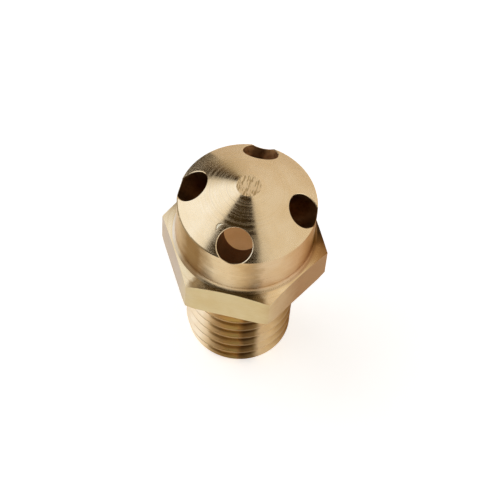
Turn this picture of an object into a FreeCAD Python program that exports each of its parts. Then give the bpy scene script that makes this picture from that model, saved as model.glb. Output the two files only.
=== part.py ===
"""Oil burner nozzle: a turned brass head with four slanted outlet ports on an M12 thread.

Units are millimetres. +Z runs along the nozzle axis from the inlet to the tip, and Z = 0 is the inlet
end of the thread. Two opposite ports point along +X and -X, over two corners of the hexagon, and the
other two point along +Y and -Y, over the middles of two flats.
"""
import FreeCAD, Part
import math
import os

OUT = "parts"

# outside of the body
HEAD_R = 7.5
TIP_R = 1.32
TIP_Z = 28.4
DOME_R = 18.3
DOME_FOOT_Z = 25.1
LAND_FOOT_Z = 19.79
LAND_FILLET_R = 0.64
HEX_ACROSS_FLATS = 16.0
HEX_BOTTOM_Z = 14.36
HEX_TOP_Z = 19.17
HEX_TOP_SLOPE = 22.4
HEX_BOTTOM_CHAMFER_R = 8.75
HEX_BOTTOM_SLOPE = 30.0

# outside thread, M12 x 1.75
THREAD_R = 6.0
THREAD_PITCH = 1.75
THREAD_DEPTH = 1.07
THREAD_END_R = 5.0
GROOVE_START_Z = -1.42
GROOVE_END_Z = 13.1
RELIEF_R = 4.7
RELIEF_BOTTOM_Z = 12.4
RELIEF_CORNER = 0.5

# outlet ports
PORT_R = 1.9
PORT_COUNT = 4
PORT_RISE = 44.5
PORT_CROSSING_Z = 19.98
PORT_REACH = 14.0
PORT_RIM_BREAK = 0.08

# inside of the body
BORE_R = 3.0
BORE_END_Z = 25.3
DRILL_POINT = 118.0
SHOULDER_Z = 9.0
INLET_R = 3.6
INLET_MOUTH_R = 4.15

# inside thread, M8 x 0.75
SCREW_PITCH = 0.75
SCREW_NOMINAL_R = 4.0
SCREW_CLEARANCE = 0.03
TAP_ROOT_R = 4.05
TAP_INNER_R = 3.5
TAP_START_Z = -0.7
TAP_END_Z = 5.0

# pieces stacked in the inlet
STACK_R = 3.55
SEAL_THICKNESS = 0.5
DISC_THICKNESS = 1.5
ORIFICE_R = 0.3
ORIFICE_LAND = 0.3
SWIRL_R = 1.1
SWIRL_DEPTH = 0.5
PLUG_FLANGE = 1.4
PLUG_STEM_R = 1.8
PLUG_STEM = 1.2
PLUG_CHANNEL_R = 2.9
PLUG_SLOT_DEPTH = 0.4
PLUG_SLOT_WIDTH = 0.5
PLUG_SLOTS = 3
PLUG_NOTCH_WIDTH = 1.4
PLUG_NOTCH_DEPTH = 0.6
PLUG_CROSS_WIDTH = 0.8
PLUG_CROSS_DEPTH = 0.8

# retaining screw and the strainer in it
SCREW_OUTER_R = 3.95
SCREW_ROOT_R = 3.54
SCREW_LENGTH = 3.6
SCREW_PASSAGE_R = 1.2
SCREW_WEB = 0.8
PLENUM_R = 2.1
PLENUM_DEPTH = 0.4
POCKET_R = 2.6
DRIVE_SLOT_WIDTH = 1.2
DRIVE_SLOT_DEPTH = 0.8
RING_GROOVE_R = 2.9
RING_WIRE_R = 0.25
RING_MEAN_R = 2.6
RING_GAP = 50.0
STRAINER_R = 2.55
SUPPORT_THICKNESS = 0.5
SUPPORT_HOLE_R = 0.45
SUPPORT_HOLES = 6
SUPPORT_HOLE_CIRCLE_R = 1.55
GAUZE_THICKNESS = 0.24

# heights of the joints in the stack, from the shoulder down
SEAL_BOTTOM_Z = SHOULDER_Z - SEAL_THICKNESS
DISC_BOTTOM_Z = SEAL_BOTTOM_Z - DISC_THICKNESS
FLANGE_BOTTOM_Z = DISC_BOTTOM_Z - PLUG_FLANGE
SCREW_TOP_Z = FLANGE_BOTTOM_Z - PLUG_STEM
SCREW_BOTTOM_Z = SCREW_TOP_Z - SCREW_LENGTH
PLENUM_TOP_Z = SCREW_TOP_Z - SCREW_WEB
POCKET_TOP_Z = PLENUM_TOP_Z - PLENUM_DEPTH
SUPPORT_BOTTOM_Z = POCKET_TOP_Z - SUPPORT_THICKNESS
GAUZE_BOTTOM_Z = SUPPORT_BOTTOM_Z - GAUZE_THICKNESS
RING_Z = GAUZE_BOTTOM_Z - RING_WIRE_R

Z_AXIS = FreeCAD.Vector(0, 0, 1)
ORIGIN = FreeCAD.Vector(0, 0, 0)
FLANK_TAN = math.tan(math.radians(30.0))


def at(r, z):
    """A point in the XZ half-plane that the turned profiles are drawn in."""
    return FreeCAD.Vector(r, 0, z)


def turned(points):
    """The solid that a closed profile of (radius, height) points sweeps round the nozzle axis."""
    corners = [at(r, z) for r, z in points]
    wire = Part.makePolygon(corners + [corners[0]])
    return Part.Face(wire).revolve(ORIGIN, Z_AXIS, 360)


def rod(radius, bottom, top, x=0.0, y=0.0):
    """A round bar parallel to the nozzle axis."""
    return Part.makeCylinder(radius, top - bottom, FreeCAD.Vector(x, y, bottom), Z_AXIS)


def bar(x_low, x_high, width, z_low, z_high, y_mid=0.0):
    """A rectangular bar along X."""
    corner = FreeCAD.Vector(x_low, y_mid - width / 2, z_low)
    return Part.makeBox(x_high - x_low, width, z_high - z_low, corner)


def spun(shape, degrees):
    """A copy of the shape turned about the nozzle axis."""
    copy = shape.copy()
    copy.rotate(ORIGIN, Z_AXIS, degrees)
    return copy


def helical_cutter(profile, pitch, start_z, end_z, radius):
    """A right-hand thread groove. The profile is (radius, height from the groove's middle) points."""
    helix = Part.makeLongHelix(pitch, end_z - start_z, radius, 0.0)
    helix.translate(FreeCAD.Vector(0, 0, start_z))
    corners = [at(r, start_z + dz) for r, dz in profile]
    section = Part.makePolygon(corners + [corners[0]])
    return Part.Wire(helix.Edges).makePipeShell([section], True, True)


def outside_groove():
    """The 60 degree groove between the crests of the M12 thread, with a small flat root."""
    crest_half = THREAD_PITCH * 7 / 16
    root_half = crest_half - THREAD_DEPTH * FLANK_TAN
    over = 0.08
    profile = [
        (THREAD_R + over, crest_half + over * FLANK_TAN),
        (THREAD_R - THREAD_DEPTH, root_half),
        (THREAD_R - THREAD_DEPTH, -root_half),
        (THREAD_R + over, -crest_half - over * FLANK_TAN),
    ]
    return helical_cutter(profile, THREAD_PITCH, GROOVE_START_Z, GROOVE_END_Z, THREAD_R)


def tapped_groove():
    """The groove that the M8 tap leaves in the inlet wall."""
    inner_half = SCREW_PITCH / 16 + (SCREW_NOMINAL_R - TAP_INNER_R) * FLANK_TAN + SCREW_CLEARANCE
    root_half = SCREW_PITCH / 16 + (SCREW_NOMINAL_R - TAP_ROOT_R) * FLANK_TAN + SCREW_CLEARANCE
    profile = [
        (TAP_INNER_R, inner_half),
        (TAP_ROOT_R, root_half),
        (TAP_ROOT_R, -root_half),
        (TAP_INNER_R, -inner_half),
    ]
    return helical_cutter(profile, SCREW_PITCH, TAP_START_Z, TAP_END_Z, SCREW_NOMINAL_R)


def screw_groove():
    """The groove between the crests of the retaining screw, half a pitch from the tapped groove."""
    over_r = SCREW_OUTER_R + 0.03
    over_half = SCREW_PITCH / 2 - SCREW_PITCH / 16 - (SCREW_NOMINAL_R - over_r) * FLANK_TAN
    root_half = SCREW_PITCH / 2 - SCREW_PITCH / 16 - (SCREW_NOMINAL_R - SCREW_ROOT_R) * FLANK_TAN
    profile = [
        (over_r, over_half),
        (SCREW_ROOT_R, root_half),
        (SCREW_ROOT_R, -root_half),
        (over_r, -over_half),
    ]
    start_z = TAP_START_Z + SCREW_PITCH / 2
    return helical_cutter(profile, SCREW_PITCH, start_z, SCREW_TOP_Z + SCREW_PITCH, SCREW_NOMINAL_R)


def head_solid():
    """Domed nose, land and fillet, running down into the hexagon."""
    dome_foot = at(HEAD_R, DOME_FOOT_Z)
    tip_edge = at(TIP_R, TIP_Z)
    chord = tip_edge - dome_foot
    rise = DOME_R - math.sqrt(DOME_R**2 - (chord.Length / 2) ** 2)
    crown = dome_foot + chord * 0.5 + at(chord.z, -chord.x) * (rise / chord.Length)
    slope = math.radians(HEX_TOP_SLOPE)
    corner_z = HEX_TOP_Z + (HEX_ACROSS_FLATS / 2 - HEAD_R) * math.tan(slope)
    run = LAND_FOOT_Z - corner_z
    foot = at(HEAD_R, LAND_FOOT_Z)
    centre = at(HEAD_R + LAND_FILLET_R, LAND_FOOT_Z)
    reach = at(HEAD_R, corner_z) - centre
    middle = centre + reach * (LAND_FILLET_R / reach.Length)
    out = at(HEAD_R + run * math.cos(slope), corner_z - run * math.sin(slope))
    low = HEX_BOTTOM_Z + 1.0
    edges = [
        Part.makeLine(at(0, low), at(0, TIP_Z)),
        Part.makeLine(at(0, TIP_Z), tip_edge),
        Part.Arc(tip_edge, crown, dome_foot).toShape(),
        Part.makeLine(dome_foot, foot),
        Part.Arc(foot, middle, out).toShape(),
        Part.makeLine(out, at(out.x, low)),
        Part.makeLine(at(out.x, low), at(0, low)),
    ]
    return Part.Face(Part.Wire(edges)).revolve(ORIGIN, Z_AXIS, 360)


def hexagon_solid():
    """The spanner hexagon, chamfered by a wide cone on top and at its corners underneath."""
    corner_r = HEX_ACROSS_FLATS / math.sqrt(3)
    corners = []
    for i in range(6):
        a = math.radians(60 * i)
        corners.append(FreeCAD.Vector(corner_r * math.cos(a), corner_r * math.sin(a), HEX_BOTTOM_Z))
    outline = Part.Face(Part.makePolygon(corners + [corners[0]]))
    top_tan = math.tan(math.radians(HEX_TOP_SLOPE))
    axis_top_z = HEX_TOP_Z + HEX_ACROSS_FLATS / 2 * top_tan
    prism = outline.extrude(Z_AXIS * (axis_top_z - HEX_BOTTOM_Z))
    wide = corner_r + 1.0
    envelope = turned([
        (0, HEX_BOTTOM_Z),
        (HEX_BOTTOM_CHAMFER_R, HEX_BOTTOM_Z),
        (wide, HEX_BOTTOM_Z + (wide - HEX_BOTTOM_CHAMFER_R) * math.tan(math.radians(HEX_BOTTOM_SLOPE))),
        (wide, axis_top_z - wide * top_tan),
        (HEAD_R - 1.0, axis_top_z - (HEAD_R - 1.0) * top_tan),
        (0, axis_top_z - (HEAD_R - 1.0) * top_tan),
    ])
    return prism.common(envelope)


def shank_solid():
    """Unthreaded shank with an end chamfer below and a relief groove under the hexagon."""
    return turned([
        (0, 0),
        (THREAD_END_R, 0),
        (THREAD_R, THREAD_R - THREAD_END_R),
        (THREAD_R, RELIEF_BOTTOM_Z - (THREAD_R - RELIEF_R)),
        (RELIEF_R, RELIEF_BOTTOM_Z),
        (RELIEF_R, HEX_BOTTOM_Z - RELIEF_CORNER),
        (RELIEF_R + RELIEF_CORNER, HEX_BOTTOM_Z),
        (RELIEF_R + RELIEF_CORNER, HEX_BOTTOM_Z + 0.5),
        (0, HEX_BOTTOM_Z + 0.5),
    ])


def port_cutters():
    """One drill per port, from the nozzle axis out through the dome."""
    rise = math.radians(PORT_RISE)
    start = FreeCAD.Vector(0, 0, PORT_CROSSING_Z)
    drills = []
    for i in range(PORT_COUNT):
        turn = 2 * math.pi * i / PORT_COUNT
        way = FreeCAD.Vector(
            math.cos(rise) * math.cos(turn), math.cos(rise) * math.sin(turn), math.sin(rise)
        )
        drills.append(Part.makeCylinder(PORT_R, PORT_REACH, start, way))
    return drills


def bore_cutter():
    """Inlet counterbore, shoulder and the blind bore with its drill point."""
    point_z = BORE_END_Z + BORE_R / math.tan(math.radians(DRILL_POINT / 2))
    return turned([
        (0, -1.0),
        (INLET_MOUTH_R + 1.0, -1.0),
        (INLET_MOUTH_R, 0),
        (INLET_R, INLET_MOUTH_R - INLET_R),
        (INLET_R, SHOULDER_Z),
        (BORE_R, SHOULDER_Z),
        (BORE_R, BORE_END_Z),
        (0, point_z),
    ])


def outer_rims(body):
    """The edges where the ports break out through the dome and the land."""
    rims = []
    for edge in body.Edges:
        middle = edge.valueAt((edge.FirstParameter + edge.LastParameter) / 2)
        radius = math.hypot(middle.x, middle.y)
        ends = [math.hypot(v.X, v.Y) for v in edge.Vertexes]
        curved = edge.Curve.TypeId not in ("Part::GeomLine", "Part::GeomCircle")
        if curved and middle.z > LAND_FOOT_Z and radius > BORE_R + 1.0 and min(ends) > BORE_R + 1.0:
            rims.append(edge)
    return rims


def nozzle_body():
    """The turned, drilled and threaded one-piece body. Both threads are cut last."""
    body = head_solid().fuse(hexagon_solid()).fuse(shank_solid())
    body = body.removeSplitter().cut(bore_cutter())
    for drill in port_cutters():
        body = body.cut(drill)
    body = body.makeChamfer(PORT_RIM_BREAK, outer_rims(body))
    return body.cut(outside_groove()).cut(tapped_groove())


def orifice_seal():
    """Flat copper ring between the shoulder and the orifice disc."""
    return turned([
        (BORE_R, SEAL_BOTTOM_Z),
        (STACK_R, SEAL_BOTTOM_Z),
        (STACK_R, SHOULDER_Z),
        (BORE_R, SHOULDER_Z),
    ])


def orifice_disc():
    """Disc with a swirl cone underneath that narrows to the metering hole."""
    land_z = SEAL_BOTTOM_Z - ORIFICE_LAND
    return turned([
        (SWIRL_R, DISC_BOTTOM_Z),
        (STACK_R, DISC_BOTTOM_Z),
        (STACK_R, SEAL_BOTTOM_Z),
        (ORIFICE_R, SEAL_BOTTOM_Z),
        (ORIFICE_R, land_z),
    ])


def swirl_plug():
    """Flange with three tangential slots on top and a stem that the screw pushes on."""
    plug = turned([
        (0, SCREW_TOP_Z),
        (PLUG_STEM_R, SCREW_TOP_Z),
        (PLUG_STEM_R, FLANGE_BOTTOM_Z),
        (STACK_R, FLANGE_BOTTOM_Z),
        (STACK_R, DISC_BOTTOM_Z - PLUG_SLOT_DEPTH),
        (PLUG_CHANNEL_R, DISC_BOTTOM_Z - PLUG_SLOT_DEPTH),
        (PLUG_CHANNEL_R, DISC_BOTTOM_Z),
        (SWIRL_R, DISC_BOTTOM_Z),
        (SWIRL_R, DISC_BOTTOM_Z - SWIRL_DEPTH),
        (0, DISC_BOTTOM_Z - SWIRL_DEPTH),
    ])
    slot_z = DISC_BOTTOM_Z - PLUG_SLOT_DEPTH
    slot_offset = SWIRL_R - PLUG_SLOT_WIDTH / 2
    slot = bar(0, STACK_R + 1, PLUG_SLOT_WIDTH, slot_z, DISC_BOTTOM_Z + 1, slot_offset)
    notch_in = STACK_R - PLUG_NOTCH_DEPTH
    notch = bar(notch_in, STACK_R + 1, PLUG_NOTCH_WIDTH, FLANGE_BOTTOM_Z - 0.1, DISC_BOTTOM_Z + 1)
    for i in range(PLUG_SLOTS):
        turn = 360 * i / PLUG_SLOTS
        plug = plug.cut(spun(slot, turn))
        plug = plug.cut(spun(notch, turn + 60))
    cross = bar(
        -STACK_R, STACK_R, PLUG_CROSS_WIDTH, SCREW_TOP_Z - 1, SCREW_TOP_Z + PLUG_CROSS_DEPTH
    )
    return plug.cut(cross)


def retaining_screw():
    """Hollow M8 screw that clamps the stack, with the strainer pocket and a driver slot below."""
    chamfer = 0.3
    screw = turned([
        (POCKET_R, SCREW_BOTTOM_Z),
        (SCREW_OUTER_R - chamfer, SCREW_BOTTOM_Z),
        (SCREW_OUTER_R, SCREW_BOTTOM_Z + chamfer),
        (SCREW_OUTER_R, SCREW_TOP_Z - chamfer),
        (SCREW_OUTER_R - chamfer, SCREW_TOP_Z),
        (SCREW_PASSAGE_R, SCREW_TOP_Z),
        (SCREW_PASSAGE_R, PLENUM_TOP_Z),
        (PLENUM_R, PLENUM_TOP_Z),
        (PLENUM_R, POCKET_TOP_Z),
        (POCKET_R, POCKET_TOP_Z),
    ])
    groove_half = RING_WIRE_R + 0.03
    groove = rod(RING_GROOVE_R, RING_Z - groove_half, RING_Z + groove_half)
    drive_top = SCREW_BOTTOM_Z + DRIVE_SLOT_DEPTH
    drive = bar(-5, 5, DRIVE_SLOT_WIDTH, SCREW_BOTTOM_Z - 1, drive_top)
    return screw.cut(groove).cut(drive).cut(screw_groove())


def strainer_support():
    """Perforated disc that keeps the gauze flat."""
    disc = rod(STRAINER_R, SUPPORT_BOTTOM_Z, POCKET_TOP_Z)
    disc = disc.cut(rod(SUPPORT_HOLE_R, SUPPORT_BOTTOM_Z - 1, POCKET_TOP_Z + 1))
    for i in range(SUPPORT_HOLES):
        a = 2 * math.pi * i / SUPPORT_HOLES
        x = SUPPORT_HOLE_CIRCLE_R * math.cos(a)
        y = SUPPORT_HOLE_CIRCLE_R * math.sin(a)
        disc = disc.cut(rod(SUPPORT_HOLE_R, SUPPORT_BOTTOM_Z - 1, POCKET_TOP_Z + 1, x, y))
    return disc


def strainer_gauze():
    """The woven gauze disc, as a plain disc of the weave's thickness."""
    return rod(STRAINER_R, GAUZE_BOTTOM_Z, SUPPORT_BOTTOM_Z)


def strainer_ring():
    """Split spring ring of round wire that holds the gauze in the screw's pocket."""
    section = Part.Wire(Part.makeCircle(RING_WIRE_R, at(RING_MEAN_R, RING_Z), FreeCAD.Vector(0, 1, 0)))
    ring = Part.Face(section).revolve(ORIGIN, Z_AXIS, 360 - RING_GAP)
    return spun(ring, RING_GAP / 2)


PIECES = {
    "nozzle_body": nozzle_body,
    "orifice_seal": orifice_seal,
    "orifice_disc": orifice_disc,
    "swirl_plug": swirl_plug,
    "retaining_screw": retaining_screw,
    "strainer_support": strainer_support,
    "strainer_gauze": strainer_gauze,
    "strainer_ring": strainer_ring,
}

os.makedirs(OUT, exist_ok=True)
for name, make in PIECES.items():
    shape = make()
    solid = shape.Solids[0]
    print(name, len(shape.Solids), shape.isValid(), round(solid.Volume, 2))
    solid.exportStep(os.path.join(OUT, name + ".step"))
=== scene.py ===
"""Oil burner nozzle: turned champagne brass on a pale floor under soft studio light."""

import math

import bmesh
import bpy
from mathutils import Matrix, Vector


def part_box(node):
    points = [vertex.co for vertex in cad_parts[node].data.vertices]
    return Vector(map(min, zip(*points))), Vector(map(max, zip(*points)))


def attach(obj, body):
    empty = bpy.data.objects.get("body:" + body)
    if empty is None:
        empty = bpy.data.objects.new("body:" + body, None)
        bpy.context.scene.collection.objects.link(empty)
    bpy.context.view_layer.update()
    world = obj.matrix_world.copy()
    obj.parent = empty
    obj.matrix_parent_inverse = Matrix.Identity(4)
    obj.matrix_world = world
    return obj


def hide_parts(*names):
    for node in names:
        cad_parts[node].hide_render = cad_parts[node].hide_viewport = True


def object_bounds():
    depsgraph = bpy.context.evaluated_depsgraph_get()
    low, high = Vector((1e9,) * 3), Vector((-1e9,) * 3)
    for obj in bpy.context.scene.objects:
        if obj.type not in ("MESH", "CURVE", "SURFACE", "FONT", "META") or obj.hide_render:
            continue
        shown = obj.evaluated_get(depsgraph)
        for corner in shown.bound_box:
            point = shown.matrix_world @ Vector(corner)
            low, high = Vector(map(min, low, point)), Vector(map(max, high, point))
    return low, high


MM = 0.001

# the camera, looking at the middle of the dome's foot
CAMERA_AZIMUTH = 9.05
CAMERA_ELEVATION = 57.469
CAMERA_ROLL = 4.895
CAMERA_DISTANCE = 204.03 * MM
CAMERA_LENS = 138.76
AIM_RIGHT = -0.00134
AIM_DOWN = 0.02456

# shape of the body, in millimetres and as the upward part of each facet's normal
DOME_FOOT_Z = 25.1
DOME_R = 18.3
TIP_R = 1.32
TIP_Z = 28.4
CHAMFER_UP = 0.9245
HEX_HALF_WIDTH = 8.0
HEX_BOTTOM_Z = 14.36
HEAD_R = 7.5
THREAD_R = 6.0
INLET_WALL_R = 4.2
CHAMBER_R = 3.05
SHOULDER_Z = 9.0
PORT_R = 1.9
PORT_RISE = 44.5
PORT_CROSSING_Z = 19.98

# woven gauze, in millimetres
WIRE_R = 0.055
WIRE_PITCH = 0.3
WIRE_SIDES = 8
STEPS_PER_PITCH = 5

# directions from the axis: tool chatter and a dark line at the dome's foot, and painted shade in the
# thread's roots
CHATTER_SIDE = (-0.78, -0.63, 0)
ROOT_SHADE_SIDE = (0.1, -0.995, 0)

# a nick in the dome: its middle in millimetres, and its directions, each over half the nick's size
NICK_MIDDLE = (-2.13, -4.56, 26.8)
NICK_ALONG = (1.8, 2.1, 0)
NICK_ACROSS = (-5.9, 5.0, 0)
NICK_BEND = 1.2
# the nick's painted highlight in its middle, and its painted shadow round it, which also draws the dark
# line at the dome's foot
NICK_PAINTED_HIGHLIGHT = (0.95, 0.82, 0.58)
NICK_SHADE = (0.28, 0.19, 0.09)

# corners of the cards behind: millimetres from the axis, degrees right of the camera
DARK_CARD = ((45, -161), (45, -140), (600, -140), (600, -161))
TAN_CARD = ((55, 105), (55, 150), (55, 180), (55, -161), (900, -161), (900, 180), (900, 150), (900, 105))
DARK_FELT = ((0.015, 0.011, 0.007), (0.03, 0.022, 0.014))
TAN_FELT = ((0.6, 0.52, 0.42), (0.66, 0.57, 0.46))

# linear colours: worn or dirty, usual, pale
BRASS = ((0.7, 0.5, 0.27), (0.83, 0.63, 0.38), (0.88, 0.7, 0.46))
# the thread's darkest colour draws its tool marks and the painted shade in its roots
THREAD_BRASS = ((0.34, 0.22, 0.1), (0.83, 0.63, 0.38), (0.88, 0.7, 0.46))
TORN_BRASS = ((0.42, 0.26, 0.1), (0.86, 0.63, 0.36), (0.95, 0.73, 0.44))
# the ports' drilled brass, darkened with painted shade for their dim insides
PORT_PAINTED_SHADE_BRASS = ((0.1, 0.04, 0.012), (0.18, 0.08, 0.026), (0.27, 0.14, 0.055))
DULL_BRASS = ((0.7, 0.46, 0.26), (0.84, 0.58, 0.36), (0.86, 0.62, 0.4))
# the chamber's brass, which also colours its painted glow
CHAMBER_BRASS = ((0.46, 0.29, 0.13), (0.6, 0.39, 0.18), (0.66, 0.44, 0.22))
YELLOW_BRASS = ((0.55, 0.36, 0.14), (0.78, 0.56, 0.27), (0.84, 0.64, 0.34))
COPPER = ((0.42, 0.18, 0.09), (0.76, 0.4, 0.26), (0.82, 0.48, 0.34))
STEEL = ((0.3, 0.29, 0.28), (0.52, 0.51, 0.49), (0.6, 0.59, 0.57))
SPRING_STEEL = ((0.16, 0.15, 0.14), (0.36, 0.35, 0.33), (0.45, 0.44, 0.42))

# what a metal's colour turns to where it is seen edge-on
EDGE_TINT = (0.95, 0.92, 0.88, 1)
WARM_EDGE_TINT = (0.78, 0.62, 0.44, 1)

# how near a facet's middle lies to the surface it belongs to, in millimetres
PORT_NEAR = 0.06
DOME_NEAR = 0.03
NEAR = 0.05
HAIR = 0.01

# painted reflections and shade round the axis, by azimuth, that multiply each surface's colour: stops of
# (degrees right of the front, colour)
BACK_PAINTED_REFLECTION = (0.9, 0.88, 0.84)

LAND_PAINTED_REFLECTIONS = [
    (-180, BACK_PAINTED_REFLECTION),
    (-75, (0.9, 0.98, 1.2)),
    (-56, (0.7, 0.7, 0.7)),
    (-44, (0.34, 0.27, 0.2)),
    (-30, (0.32, 0.25, 0.18)),
    (-14, (0.94, 0.96, 0.96)),
    (-2, (0.95, 0.95, 0.93)),
    (8, (0.77, 0.7, 0.58)),
    (14, (0.63, 0.54, 0.43)),
    (20, (0.55, 0.48, 0.4)),
    (28, (0.82, 0.79, 0.78)),
    (42, (0.84, 0.8, 0.78)),
    (58, (0.72, 0.6, 0.54)),
    (72, (0.56, 0.4, 0.3)),
    (84, (0.42, 0.27, 0.17)),
    (94, (0.18, 0.1, 0.04)),
    (120, (0.4, 0.3, 0.22)),
    (180, BACK_PAINTED_REFLECTION),
]

FLAT_PAINTED_REFLECTIONS = [
    (-180, (0.8, 0.79, 0.78)),
    (-75, (0.63, 0.64, 0.74)),
    (-45, (0.63, 0.64, 0.74)),
    (-25, (0.77, 0.78, 0.65)),
    (25, (0.77, 0.78, 0.65)),
    (36, (0.64, 0.56, 0.44)),
    (60, (0.42, 0.27, 0.13)),
    (95, (0.42, 0.27, 0.13)),
    (180, (0.8, 0.79, 0.78)),
]

THREAD_PAINTED_REFLECTIONS = [
    (-180, BACK_PAINTED_REFLECTION),
    (-60, (1.04, 1.05, 1.1)),
    (-36, (1.12, 1.14, 1.18)),
    (-20, (1.0, 0.9, 0.74)),
    (0, (1.25, 1.1, 0.8)),
    (11, (1.35, 1.15, 0.85)),
    (17, (0.62, 0.5, 0.34)),
    (28, (0.42, 0.35, 0.25)),
    (37, (1.0, 0.98, 0.96)),
    (50, (0.96, 0.9, 0.78)),
    (70, (0.56, 0.44, 0.3)),
    (86, (0.34, 0.22, 0.11)),
    (110, (0.4, 0.3, 0.2)),
    (180, BACK_PAINTED_REFLECTION),
]

CREST_PAINTED_REFLECTIONS = [
    (-180, BACK_PAINTED_REFLECTION),
    (-50, (1.04, 1.04, 1.08)),
    (-22, (0.5, 0.42, 0.29)),
    (4, (0.5, 0.39, 0.24)),
    (17, (0.26, 0.2, 0.12)),
    (28, (0.3, 0.24, 0.16)),
    (38, (0.8, 0.75, 0.66)),
    (70, (0.46, 0.35, 0.22)),
    (86, (0.3, 0.19, 0.1)),
    (110, (0.4, 0.3, 0.2)),
    (180, BACK_PAINTED_REFLECTION),
]

PORT_PAINTED_REFLECTIONS = [
    (-180, (0.9, 0.95, 1.05)),
    (-173, (0.9, 0.95, 1.05)),
    (-168, (3.0, 3.4, 4.0)),
    (-163, (2.7, 3.0, 3.5)),
    (-157, (0.8, 0.8, 0.8)),
    (-115, (1.0, 1.0, 1.0)),
    (-45, (1.0, 1.0, 1.0)),
    (-25, (0.45, 0.3, 0.16)),
    (25, (0.45, 0.3, 0.16)),
    (45, (1.0, 1.0, 1.0)),
    (115, (1.0, 1.0, 1.0)),
    (157, (1.3, 1.4, 1.6)),
    (165, (3.0, 3.4, 4.0)),
    (174, (2.8, 3.2, 3.7)),
    (180, (0.9, 0.95, 1.05)),
]

CHAMFER_PAINTED_REFLECTIONS = [
    (-180, BACK_PAINTED_REFLECTION),
    (-60, (0.92, 0.9, 0.86)),
    (-38, (0.92, 0.93, 0.9)),
    (-31, (0.98, 0.98, 0.96)),
    (-27, (0.38, 0.3, 0.2)),
    (-23, (0.62, 0.52, 0.38)),
    (-16, (1.2, 1.1, 0.92)),
    (10, (1.4, 1.3, 1.1)),
    (17, (0.6, 0.48, 0.28)),
    (25, (0.38, 0.3, 0.2)),
    (29, (1.12, 1.08, 1.04)),
    (44, (1.12, 1.1, 1.05)),
    (52, (0.98, 0.94, 0.86)),
    (66, (0.95, 0.9, 0.8)),
    (79, (0.62, 0.47, 0.32)),
    (86, (0.5, 0.34, 0.2)),
    (92, (0.3, 0.18, 0.09)),
    (98, (0.16, 0.09, 0.04)),
    (106, (0.05, 0.03, 0.015)),
    (125, (0.2, 0.13, 0.09)),
    (180, BACK_PAINTED_REFLECTION),
]

# soft boxes, by the facing of the turned facet that mirrors them to the camera: stops of
# (degrees right of the camera, colour)
SOFT_BOXES = [
    (-180, (0.76, 0.68, 0.58)),
    (-157, (0.68, 0.61, 0.51)),
    (-148, (0.58, 0.52, 0.42)),
    (-140, (0.44, 0.38, 0.28)),
    (-130, (0.14, 0.1, 0.06)),
    (-121, (0.05, 0.035, 0.018)),
    (-114, (0.05, 0.035, 0.018)),
    (-104, (0.8, 0.82, 0.84)),
    (-88, (1.12, 1.23, 1.42)),
    (-55, (1.12, 1.24, 1.46)),
    (-35, (1.0, 1.03, 1.06)),
    (-31, (0.05, 0.035, 0.015)),
    (-8, (0.045, 0.03, 0.012)),
    (12, (0.02, 0.012, 0.005)),
    (17, (0.68, 0.64, 0.57)),
    (29, (0.82, 0.78, 0.71)),
    (180, (0.76, 0.68, 0.58)),
]

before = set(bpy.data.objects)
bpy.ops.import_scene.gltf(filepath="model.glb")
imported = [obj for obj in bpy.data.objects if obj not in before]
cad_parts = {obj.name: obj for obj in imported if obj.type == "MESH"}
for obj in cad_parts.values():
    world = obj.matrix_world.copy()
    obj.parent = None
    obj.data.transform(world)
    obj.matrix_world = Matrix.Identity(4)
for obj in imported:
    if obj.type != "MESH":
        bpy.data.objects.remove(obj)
START_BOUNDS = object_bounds()
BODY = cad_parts["nozzle_body"]


# ---------------------------------------------------------------- camera and stage


def view_axes():
    """Unit vectors from the object to the camera, to the picture's right and to its top."""
    az = math.radians(CAMERA_AZIMUTH)
    el = math.radians(CAMERA_ELEVATION)
    roll = math.radians(CAMERA_ROLL)
    back = Vector((math.sin(az) * math.cos(el), -math.cos(az) * math.cos(el), math.sin(el)))
    flat_right = Vector((math.cos(az), math.sin(az), 0))
    flat_up = back.cross(flat_right)
    right = flat_right * math.cos(roll) + flat_up * math.sin(roll)
    up = flat_up * math.cos(roll) - flat_right * math.sin(roll)
    return back, right, up


def make_camera():
    """A long lens aimed near the middle of the dome's foot."""
    back, right, up = view_axes()
    forward = (AIM_RIGHT * -right - AIM_DOWN * up - back).normalized()
    side = forward.cross(up).normalized()
    head = side.cross(forward)
    data = bpy.data.cameras.new("camera")
    data.sensor_width = 36.0
    data.lens = CAMERA_LENS
    data.clip_start = 0.01
    data.clip_end = 10.0
    camera = bpy.data.objects.new("camera", data)
    bpy.context.scene.collection.objects.link(camera)
    turn = Matrix((side, head, -forward)).transposed().to_4x4()
    place = Vector((0, 0, DOME_FOOT_Z * MM)) + back * CAMERA_DISTANCE
    camera.matrix_world = Matrix.Translation(place) @ turn
    bpy.context.scene.camera = camera


# ---------------------------------------------------------------- node helpers


def new_material(name, **settings):
    """A material with a Principled shader, whose settings are given by socket name with underscores."""
    material = bpy.data.materials.new(name)
    material.use_nodes = True
    nt = material.node_tree
    shader = nt.nodes["Principled BSDF"]
    for key, value in settings.items():
        shader.inputs[key.replace("_", " ")].default_value = value
    return material, nt, shader


def feed(nt, socket, value):
    """Links a socket to another one, or sets its value."""
    if isinstance(value, bpy.types.NodeSocket):
        nt.links.new(value, socket)
    else:
        socket.default_value = value


def maths(nt, operation, *values):
    """The result of a Math node. Each value is a number or a socket."""
    node = nt.nodes.new("ShaderNodeMath")
    node.operation = operation
    for socket, value in zip(node.inputs, values):
        feed(nt, socket, value)
    return node.outputs[0]


def vector_maths(nt, operation, a, b):
    """The result of a Vector Math node, a number for lengths and dot products."""
    node = nt.nodes.new("ShaderNodeVectorMath")
    node.operation = operation
    feed(nt, node.inputs[0], a)
    feed(nt, node.inputs["Scale"] if operation == "SCALE" else node.inputs[1], b)
    return node.outputs["Value" if operation in ("LENGTH", "DOT_PRODUCT") else "Vector"]


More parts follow.
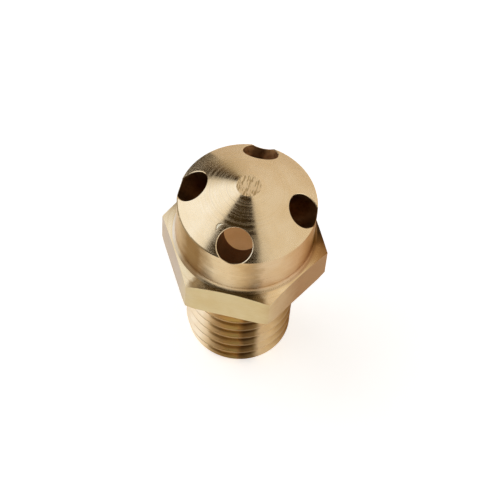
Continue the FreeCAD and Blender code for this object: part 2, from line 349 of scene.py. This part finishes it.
def parts_of(nt, vector):
    node = nt.nodes.new("ShaderNodeSeparateXYZ")
    nt.links.new(vector, node.inputs[0])
    return node.outputs


def place_mm(nt):
    """The point on the surface, in millimetres from the middle of the inlet end."""
    coordinates = nt.nodes.new("ShaderNodeTexCoord")
    return vector_maths(nt, "SCALE", coordinates.outputs["Object"], 1 / MM)


def stretched(nt, vector, x, y, z):
    return vector_maths(nt, "MULTIPLY", vector, (x, y, z))


def noise(nt, vector, scale, detail=2.0, rough=0.5):
    node = nt.nodes.new("ShaderNodeTexNoise")
    nt.links.new(vector, node.inputs["Vector"])
    node.inputs["Scale"].default_value = scale
    node.inputs["Detail"].default_value = detail
    node.inputs["Roughness"].default_value = rough
    return node.outputs["Fac"]


def line_noise(nt, value, scale, detail=2.0):
    """Noise that changes along one value only, so it draws lines where that value is constant."""
    node = nt.nodes.new("ShaderNodeTexNoise")
    node.noise_dimensions = "1D"
    nt.links.new(value, node.inputs["W"])
    node.inputs["Scale"].default_value = scale
    node.inputs["Detail"].default_value = detail
    return node.outputs["Fac"]


def spread(nt, value, low, high, out_low=0.0, out_high=1.0):
    """Maps low..high smoothly to out_low..out_high."""
    node = nt.nodes.new("ShaderNodeMapRange")
    node.interpolation_type = "SMOOTHSTEP"
    for socket, number in zip(node.inputs, (value, low, high, out_low, out_high)):
        feed(nt, socket, number)
    return node.outputs[0]


def mixed(nt, factor, a, b, blend="MIX"):
    """Two colours mixed. Each is a socket or three linear values."""
    node = nt.nodes.new("ShaderNodeMix")
    node.data_type = "RGBA"
    node.blend_type = blend
    feed(nt, node.inputs["Factor"], factor)
    feed(nt, node.inputs[6], a if isinstance(a, bpy.types.NodeSocket) else (*a, 1))
    feed(nt, node.inputs[7], b if isinstance(b, bpy.types.NodeSocket) else (*b, 1))
    return node.outputs[2]


def colour_ramp(nt, factor, stops):
    """A ramp over a whole turn, from stops of (degrees from -180 to 180, colour)."""
    node = nt.nodes.new("ShaderNodeValToRGB")
    nt.links.new(factor, node.inputs[0])
    elements = node.color_ramp.elements
    for degrees, colour in stops[1:-1]:
        elements.new(degrees / 360 + 0.5)
    for element, (degrees, colour) in zip(elements, stops):
        element.position = degrees / 360 + 0.5
        element.color = (*colour, 1)
    return node.outputs[0]


def bump(nt, shader, height, depth_mm):
    """Raises and dents the surface by a height from 0 to 1, times the depth."""
    node = nt.nodes.new("ShaderNodeBump")
    node.inputs["Strength"].default_value = 1.0
    node.inputs["Distance"].default_value = depth_mm * MM
    nt.links.new(height, node.inputs["Height"])
    nt.links.new(node.outputs[0], shader.inputs["Normal"])


def lathe_tangent(nt, shader):
    """Stretches the highlight across marks that run round the nozzle axis."""
    tangent = nt.nodes.new("ShaderNodeTangent")
    tangent.direction_type = "RADIAL"
    tangent.axis = "Z"
    nt.links.new(tangent.outputs[0], shader.inputs["Tangent"])
    shader.inputs["Anisotropic Rotation"].default_value = 0.25


# ---------------------------------------------------------------- machining marks


def axis_distance(nt, mm):
    """Millimetres from the nozzle's axis."""
    return vector_maths(nt, "LENGTH", stretched(nt, mm, 1, 1, 0), (0, 0, 0))


def wavered(nt, mm, value, reach):
    """The value with a slow drift of up to reach, so that lines drawn from it aren't perfect."""
    drift = maths(nt, "SUBTRACT", noise(nt, mm, 0.5, 1.0), 0.5)
    return maths(nt, "MULTIPLY_ADD", drift, reach * 2, value)


def face_marks(nt, mm, pitch):
    """Rings round the axis that a facing tool leaves."""
    return line_noise(nt, wavered(nt, mm, axis_distance(nt, mm), 0.06), 1 / pitch)


def barrel_marks(nt, mm, pitch):
    """Lines round a turned barrel, at constant height."""
    return line_noise(nt, wavered(nt, mm, parts_of(nt, mm)[2], 0.06), 1 / pitch)


def specks(nt, mm, scale, size):
    """Small pits: one where a cell's middle is near."""
    node = nt.nodes.new("ShaderNodeTexVoronoi")
    nt.links.new(mm, node.inputs["Vector"])
    node.inputs["Scale"].default_value = scale
    node.inputs["Randomness"].default_value = 1.0
    return spread(nt, node.outputs["Distance"], size * 0.5, size, 1.0, 0.0)


# ---------------------------------------------------------------- metals


def painted_reflections_round_axis(nt, mm, tones):
    """Painted reflections and shade that change round the axis, from stops of (degrees right of the front,
    colour).
    """
    x, y, z = parts_of(nt, mm)
    azimuth = maths(nt, "ARCTAN2", x, maths(nt, "MULTIPLY", y, -1.0))
    drift = maths(nt, "SUBTRACT", noise(nt, stretched(nt, mm, 1, 1, 2), 0.8, 3.0), 0.5)
    shifted = maths(nt, "MULTIPLY_ADD", drift, 0.2, azimuth)
    return colour_ramp(nt, maths(nt, "MULTIPLY_ADD", shifted, 0.5 / math.pi, 0.5), tones)


def machined(
    name, marks, depth, rough, anisotropic=0.0,
    colours=BRASS, tones=None, metallic=1.0, wear=0.45, glow=0.0, scar=None, edge=EDGE_TINT,
):
    """Bare machined metal. marks(nt, mm) gives the tool marks from 0 to 1, depth is theirs in millimetres,
    and rough is the range of roughness. scar(nt, mm) gives dents from 0 to 1, dented into the bump: low
    values take a painted shadow colour and high ones a painted highlight colour. tones multiply the colour
    with painted reflections and shade round the axis, and glow is painted light, the surface shining in
    its own colour."""
    deep, base, pale = colours
    material, nt, shader = new_material(
        name, Metallic=metallic, Anisotropic=anisotropic, Emission_Strength=glow, Specular_Tint=edge
    )
    mm = place_mm(nt)
    lines = marks(nt, mm)
    cloud = noise(nt, mm, 0.45, 3.0)
    grain = noise(nt, mm, 9.0, 2.0)
    tone = mixed(nt, spread(nt, cloud, 0.3, 0.7), base, pale)
    pits = maths(nt, "MULTIPLY", specks(nt, mm, 1.1, 0.06), 0.6)
    worn = maths(nt, "MAXIMUM", maths(nt, "MULTIPLY", spread(nt, lines, 0.3, 0.55, 1.0, 0.0), wear), pits)
    colour = mixed(nt, worn, tone, deep)
    # painted reflections and shade round the axis multiply the colour
    if tones:
        colour = mixed(nt, 1.0, colour, painted_reflections_round_axis(nt, mm, tones), "MULTIPLY")
    height = maths(nt, "MULTIPLY_ADD", grain, 0.08, lines)
    # a painted shadow colour round the scar and a painted highlight colour in its middle, over a dent in
    # the bump
    if scar:
        dent = scar(nt, mm)
        colour = mixed(nt, spread(nt, dent, 0.05, 0.4), colour, NICK_SHADE)
        colour = mixed(nt, spread(nt, dent, 0.6, 0.85), colour, NICK_PAINTED_HIGHLIGHT)
        height = maths(nt, "MULTIPLY_ADD", dent, -4.0, height)
    nt.links.new(colour, shader.inputs["Base Color"])
    # painted light: the surface glows in its own colour
    if glow:
        nt.links.new(colour, shader.inputs["Emission Color"])
    level = maths(nt, "MULTIPLY_ADD", grain, 0.5, maths(nt, "MULTIPLY", lines, 0.5))
    feed(nt, shader.inputs["Roughness"], spread(nt, level, 0.3, 0.7, *rough))
    bump(nt, shader, height, depth)
    if anisotropic:
        lathe_tangent(nt, shader)
    return material


def nick(nt, mm):
    """A short bent dent in the dome beside the front port, drawn with a painted highlight in its middle
    and a painted shadow round it.
    """
    out = vector_maths(nt, "SUBTRACT", mm, NICK_MIDDLE)
    along = vector_maths(nt, "DOT_PRODUCT", out, NICK_ALONG)
    across = vector_maths(nt, "DOT_PRODUCT", out, NICK_ACROSS)
    bent = maths(nt, "MULTIPLY_ADD", maths(nt, "MULTIPLY", along, along), NICK_BEND, across)
    squares = maths(nt, "MULTIPLY_ADD", along, along, maths(nt, "MULTIPLY", bent, bent))
    return spread(nt, squares, 0.4, 1.7, 1.0, 0.0)


def dark_foot_line(nt, mm):
    """A ragged dark line round one side of the dome's foot."""
    edge = spread(nt, axis_distance(nt, mm), HEAD_R - 0.14, HEAD_R - 0.09)
    side = spread(nt, vector_maths(nt, "DOT_PRODUCT", mm, CHATTER_SIDE), 5.2, 6.6)
    gaps = spread(nt, noise(nt, mm, 1.6, 2.0), 0.2, 0.4)
    return maths(nt, "MULTIPLY", maths(nt, "MULTIPLY", edge, side), gaps)


def dome_scars(nt, mm):
    """Up to 0.4 takes the nick's painted shadow colour, as the dark line at the foot does; the middle of
    the nick takes the painted highlight colour.
    """
    return maths(nt, "MAXIMUM", nick(nt, mm), maths(nt, "MULTIPLY", dark_foot_line(nt, mm), 0.4))


def dome_brass():
    def marks(nt, mm):
        fine = face_marks(nt, mm, 0.3)
        near_tip = spread(nt, axis_distance(nt, mm), 2.8, 5.8, 1.9, 0.35)
        chatter = spread(nt, vector_maths(nt, "DOT_PRODUCT", mm, CHATTER_SIDE), -0.8, 2.4, 0.3, 1.0)
        strength = maths(nt, "MULTIPLY", near_tip, chatter)
        return maths(nt, "MULTIPLY_ADD", maths(nt, "SUBTRACT", fine, 0.5), strength, 0.5)
    return machined(
        "dome_brass", marks, depth=0.014, rough=(0.13, 0.34), anisotropic=0.88, wear=0.32, scar=dome_scars
    )


def land_brass():
    return machined(
        "land_brass", lambda nt, mm: barrel_marks(nt, mm, 0.2), depth=0.008, rough=(0.26, 0.38),
        anisotropic=0.78, tones=LAND_PAINTED_REFLECTIONS, edge=WARM_EDGE_TINT,
    )


def chamfer_brass():
    return machined(
        "chamfer_brass", lambda nt, mm: face_marks(nt, mm, 0.3), depth=0.004, rough=(0.2, 0.28),
        anisotropic=0.82, tones=CHAMFER_PAINTED_REFLECTIONS,
    )


def thread_brass():
    """The flanks: plain near the crests, with painted shade down in the roots at the front."""
    def marks(nt, mm):
        lines = maths(nt, "MULTIPLY_ADD", barrel_marks(nt, mm, 0.2), 0.3, 0.5)
        # painted shade down in the roots, on the front side only
        depth = spread(nt, axis_distance(nt, mm), 5.1, 5.9, 1.0, 0.0)
        front = spread(nt, vector_maths(nt, "DOT_PRODUCT", mm, ROOT_SHADE_SIDE), 4.3, 5.1)
        return maths(nt, "MULTIPLY_ADD", maths(nt, "MULTIPLY", depth, front), -0.75, lines)
    return machined(
        "thread_brass", marks, depth=0.004, rough=(0.34, 0.46), anisotropic=0.7,
        colours=THREAD_BRASS, tones=THREAD_PAINTED_REFLECTIONS, wear=0.85,
    )


def crest_brass():
    """The rounded tops of the thread."""
    return machined(
        "crest_brass", lambda nt, mm: barrel_marks(nt, mm, 0.1), depth=0.004, rough=(0.4, 0.5),
        anisotropic=0.6, tones=CREST_PAINTED_REFLECTIONS,
    )


def flat_brass():
    """Drawn hexagon bar: fine grain along the flat."""
    def grain(nt, mm):
        return noise(nt, stretched(nt, mm, 0.5, 0.5, 9.0), 1.0, 4.0, 0.65)
    return machined("flat_brass", grain, depth=0.008, rough=(0.36, 0.5), anisotropic=0.4, tones=FLAT_PAINTED_REFLECTIONS)


def tip_brass():
    """The small flat left where the bar was cut off, torn into short streaks."""
    def streaks(nt, mm):
        lines = spread(nt, noise(nt, stretched(nt, mm, 9.0, 1.1, 1.0), 1.0, 1.0), 0.36, 0.64)
        blotches = spread(nt, noise(nt, mm, 4.0, 3.0), 0.35, 0.65)
        return maths(nt, "MULTIPLY_ADD", lines, 0.7, maths(nt, "MULTIPLY", blotches, 0.3))
    return machined("tip_brass", streaks, depth=0.02, rough=(0.3, 0.42), colours=TORN_BRASS, wear=0.8)


def rim_brass():
    """Small broken edges, smooth and bright."""
    return machined("rim_brass", lambda nt, mm: noise(nt, mm, 5.0), depth=0.004, rough=(0.2, 0.3))


def port_brass():
    """Drilled walls of the ports, in brass darkened by painted shade, with painted reflections round the
    axis.
    """
    return machined(
        "port_brass", lambda nt, mm: noise(nt, mm, 3.0, 3.0), depth=0.006, rough=(0.42, 0.56),
        colours=PORT_PAINTED_SHADE_BRASS, tones=PORT_PAINTED_REFLECTIONS,
    )


def bore_brass():
    """Drilled and counterbored walls round the axis, dull from the drill."""
    return machined(
        "bore_brass", lambda nt, mm: barrel_marks(nt, mm, 0.3), depth=0.006, rough=(0.5, 0.65),
        colours=DULL_BRASS, metallic=0.35,
    )


def chamber_brass():
    """The wall of the mixing chamber, with a faint painted glow that stands in for the light it catches
    from all four ports.
    """
    return machined(
        "chamber_brass", lambda nt, mm: barrel_marks(nt, mm, 0.3), depth=0.006, rough=(0.5, 0.65),
        colours=CHAMBER_BRASS, metallic=0.35, wear=0.15, glow=0.24,
    )


def ground(name, colours, pitch=0.25):
    """Turned or ground metal for the small pieces in the inlet."""
    return machined(
        name, lambda nt, mm: face_marks(nt, mm, pitch), depth=0.004, rough=(0.26, 0.4), anisotropic=0.6,
        colours=colours,
    )


def stamped(name, colours):
    """Rolled sheet or soft ring: blotchy, with no tool marks."""
    return machined(
        name, lambda nt, mm: noise(nt, mm, 2.5, 4.0, 0.6), depth=0.01, rough=(0.3, 0.46), colours=colours
    )


def drawn_wire(name, colours):
    return machined(
        name, lambda nt, mm: noise(nt, mm, 12.0), depth=0.003, rough=(0.24, 0.36), colours=colours
    )


def port_wall(centre, normal):
    """True on the wall of one of the four slanted ports."""
    rise = math.radians(PORT_RISE)
    for i in range(4):
        turn = math.pi / 2 * i
        way = Vector((math.cos(rise) * math.cos(turn), math.cos(rise) * math.sin(turn), math.sin(rise)))
        out = centre - Vector((0, 0, PORT_CROSSING_Z))
        along = out.dot(way)
        on_wall = abs((out - way * along).length - PORT_R) < PORT_NEAR
        if along > 0 and on_wall and abs(normal.dot(way)) < 0.05:
            return True
    return False


def dome_centre():
    """The middle of the dome's arc, in the half-plane of radius and height."""
    foot = Vector((HEAD_R, DOME_FOOT_Z))
    chord = Vector((TIP_R, TIP_Z)) - foot
    half = chord.length / 2
    inward = Vector((-chord.y, chord.x)).normalized()
    return foot + chord / 2 + inward * math.sqrt(DOME_R**2 - half**2)


DOME_CENTRE = dome_centre()


def on_dome(centre, normal, r):
    """True where a facet lies on the dome's arc and faces straight out of it."""
    out = Vector((r, centre.z)) - DOME_CENTRE
    facing = (centre.x * normal.x + centre.y * normal.y) / r * out.x + normal.z * out.y
    return abs(out.length - DOME_R) < DOME_NEAR and facing > 0.995 * out.length


def body_region(centre, normal):
    """Names the machined surface that a facet of the body belongs to."""
    r = math.hypot(centre.x, centre.y)
    outward = (centre.x * normal.x + centre.y * normal.y) / max(r, 1e-6)
    if port_wall(centre, normal):
        return "port"
    if r < CHAMBER_R and SHOULDER_Z < centre.z < DOME_FOOT_Z and outward < -0.9:
        return "chamber"
    if centre.z > TIP_Z - HAIR:
        return "tip"
    if r > TIP_R - 2 * NEAR and centre.z > DOME_FOOT_Z - NEAR and on_dome(centre, normal, r):
        return "dome"
    if centre.z < HEX_BOTTOM_Z - HAIR and r > INLET_WALL_R:
        return "crest" if r > THREAD_R - 0.02 and abs(normal.z) < 0.05 else "thread"
    if r < HEAD_R - 1.2 and (outward < 0 or abs(normal.z) > 0.5) and centre.z > HEX_BOTTOM_Z:
        return "rim" if r > HEAD_R - 4.0 and centre.z > DOME_FOOT_Z - 2 and outward > -0.9 else "bore"
    if r < INLET_WALL_R:
        return "bore"
    if r > HEAD_R + NEAR and abs(normal.z - CHAMFER_UP) < 0.012:
        return "chamfer"
    if r > HEX_HALF_WIDTH - NEAR and abs(normal.z) < 0.01:
        return "flat"
    if normal.z < -0.3:
        return "chamfer"
    if abs(r - HEAD_R) < 0.7 and outward > 0.3 and centre.z < DOME_FOOT_Z - 0.02:
        return "land"
    return "rim"


INNER_FINISHES = {
    "orifice_seal": lambda: stamped("seal_copper", COPPER),
    "orifice_disc": lambda: ground("disc_steel", STEEL),
    "swirl_plug": lambda: ground("plug_steel", STEEL, 0.15),
    "retaining_screw": lambda: ground("screw_brass", YELLOW_BRASS),
    "strainer_support": lambda: stamped("support_brass", YELLOW_BRASS),
    "strainer_ring": lambda: drawn_wire("spring_steel", SPRING_STEEL),
}


def finish_inner_pieces():
    """Gives the pieces in the inlet their metals. The gauze has its own function."""
    for name, make in INNER_FINISHES.items():
        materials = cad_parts[name].data.materials
        materials.clear()
        materials.append(make())


# ---------------------------------------------------------------- gauze


def add_wire(bm, along, across, offset, reach, phase):
    """One crimped wire of the gauze, closed at both ends."""
    steps = max(2, round(2 * reach / WIRE_PITCH * STEPS_PER_PITCH))
    rings = []
    for i in range(steps + 1):
        run = reach * (2 * i / steps - 1)
        lift = phase * WIRE_R * math.cos(math.pi * run / WIRE_PITCH)
        ring = []
        for k in range(WIRE_SIDES):
            turn = 2 * math.pi * k / WIRE_SIDES
            side = offset + WIRE_R * math.cos(turn)
            up = lift + WIRE_R * math.sin(turn)
            ring.append(bm.verts.new((along * run + across * side + Vector((0, 0, up))) * MM))
        rings.append(ring)
    for a, b in zip(rings, rings[1:]):
        for k in range(WIRE_SIDES):
            after = (k + 1) % WIRE_SIDES
            bm.faces.new((a[k], a[after], b[after], b[k]))
    bm.faces.new(rings[0][::-1])
    bm.faces.new(rings[-1])


def make_gauze():
    """Plain weave in place of the strainer's disc."""
    low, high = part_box("strainer_gauze")
    radius = (high.x - low.x) / 2 / MM - WIRE_R
    count = int(radius / WIRE_PITCH)
    x_axis = Vector((1, 0, 0))
    y_axis = Vector((0, 1, 0))
    bm = bmesh.new()
    for i in range(-count, count + 1):
        offset = i * WIRE_PITCH
        reach = math.sqrt(radius**2 - offset**2)
        if reach > WIRE_PITCH:
            phase = 1 if i % 2 else -1
            add_wire(bm, x_axis, y_axis, offset, reach, phase)
            add_wire(bm, y_axis, x_axis, offset, reach, -phase)
    bmesh.ops.recalc_face_normals(bm, faces=bm.faces)
    mesh = bpy.data.meshes.new("woven_gauze")
    bm.to_mesh(mesh)
    bm.free()
    for polygon in mesh.polygons:
        polygon.use_smooth = len(polygon.vertices) == 4
    gauze = bpy.data.objects.new("woven_gauze", mesh)
    bpy.context.scene.collection.objects.link(gauze)
    gauze.location = (0, 0, (low.z + high.z) / 2)
    mesh.materials.append(drawn_wire("gauze_steel", STEEL))
    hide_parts("strainer_gauze")
    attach(gauze, "root")


def finish_body():
    """Gives each facet of the body the finish of its machined surface."""
    finishes = {
        "dome": dome_brass,
        "land": land_brass,
        "chamfer": chamfer_brass,
        "flat": flat_brass,
        "thread": thread_brass,
        "crest": crest_brass,
        "tip": tip_brass,
        "rim": rim_brass,
        "port": port_brass,
        "bore": bore_brass,
        "chamber": chamber_brass,
    }
    mesh = BODY.data
    mesh.materials.clear()
    for make in finishes.values():
        mesh.materials.append(make())
    order = list(finishes)
    for polygon in mesh.polygons:
        name = body_region(polygon.center / MM, polygon.normal)
        polygon.material_index = order.index(name)


# ---------------------------------------------------------------- stage and light


def make_floor():
    """Pale paper under the nozzle, lifted to near white by a faint glow."""
    bpy.ops.mesh.primitive_plane_add(size=4.0, location=(0, 0, START_BOUNDS[0].z))
    floor = bpy.context.object
    floor.name = "floor"
    material, nt, shader = new_material(
        "floor_paper", Roughness=0.9, Emission_Strength=0.57, Emission_Color=(1, 1, 1, 1)
    )
    grain = noise(nt, place_mm(nt), 0.8, 3.0)
    nt.links.new(mixed(nt, grain, (0.86, 0.86, 0.86), (0.9, 0.9, 0.9)), shader.inputs["Base Color"])
    floor.data.materials.append(material)


def make_card(name, outline, lift, tones, glow):
    """A matt card on the floor behind the nozzle, out of the picture, that only the brass mirrors."""
    bm = bmesh.new()
    corners = []
    for reach, turn in outline:
        a = math.radians(CAMERA_AZIMUTH + turn)
        corners.append(bm.verts.new(Vector((math.sin(a), -math.cos(a), 0)) * reach * MM))
    bm.faces.new(corners)
    mesh = bpy.data.meshes.new(name)
    bm.to_mesh(mesh)
    bm.free()
    card = bpy.data.objects.new(name, mesh)
    bpy.context.scene.collection.objects.link(card)
    card.location.z = START_BOUNDS[0].z + lift * MM
    card.visible_camera = False
    card.visible_diffuse = False
    card.visible_shadow = False
    material, nt, shader = new_material(name, Roughness=0.95, Emission_Strength=glow)
    felt = mixed(nt, noise(nt, place_mm(nt), 1.5, 3.0), *tones)
    nt.links.new(felt, shader.inputs["Base Color"])
    nt.links.new(felt, shader.inputs["Emission Color"])
    mesh.materials.append(material)


def make_world():
    """Soft boxes all round, each as wide as the fan of turned facets that it lights, on plain white."""
    world = bpy.data.worlds.new("studio")
    world.use_nodes = True
    nt = world.node_tree
    coordinates = nt.nodes.new("ShaderNodeTexCoord")
    halfway = parts_of(nt, vector_maths(nt, "ADD", coordinates.outputs["Generated"], view_axes()[0]))
    facing = maths(nt, "ARCTAN2", halfway[0], maths(nt, "MULTIPLY", halfway[1], -1.0))
    turned = maths(nt, "SUBTRACT", facing, math.radians(CAMERA_AZIMUTH))
    wrapped = maths(nt, "WRAP", turned, math.pi, -math.pi)
    ramp = colour_ramp(nt, maths(nt, "MULTIPLY_ADD", wrapped, 0.5 / math.pi, 0.5), SOFT_BOXES)
    seen = nt.nodes.new("ShaderNodeLightPath").outputs["Is Camera Ray"]
    nt.links.new(mixed(nt, seen, ramp, (1.0, 1.0, 1.0)), nt.nodes["Background"].inputs["Color"])
    bpy.context.scene.world = world


make_camera()
make_floor()
make_card("dark_card", DARK_CARD, 0.4, DARK_FELT, 0.0)
make_card("tan_card", TAN_CARD, 0.2, TAN_FELT, 0.45)
make_world()
bpy.context.scene.view_settings.view_transform = "Standard"
finish_body()
finish_inner_pieces()
make_gauze()
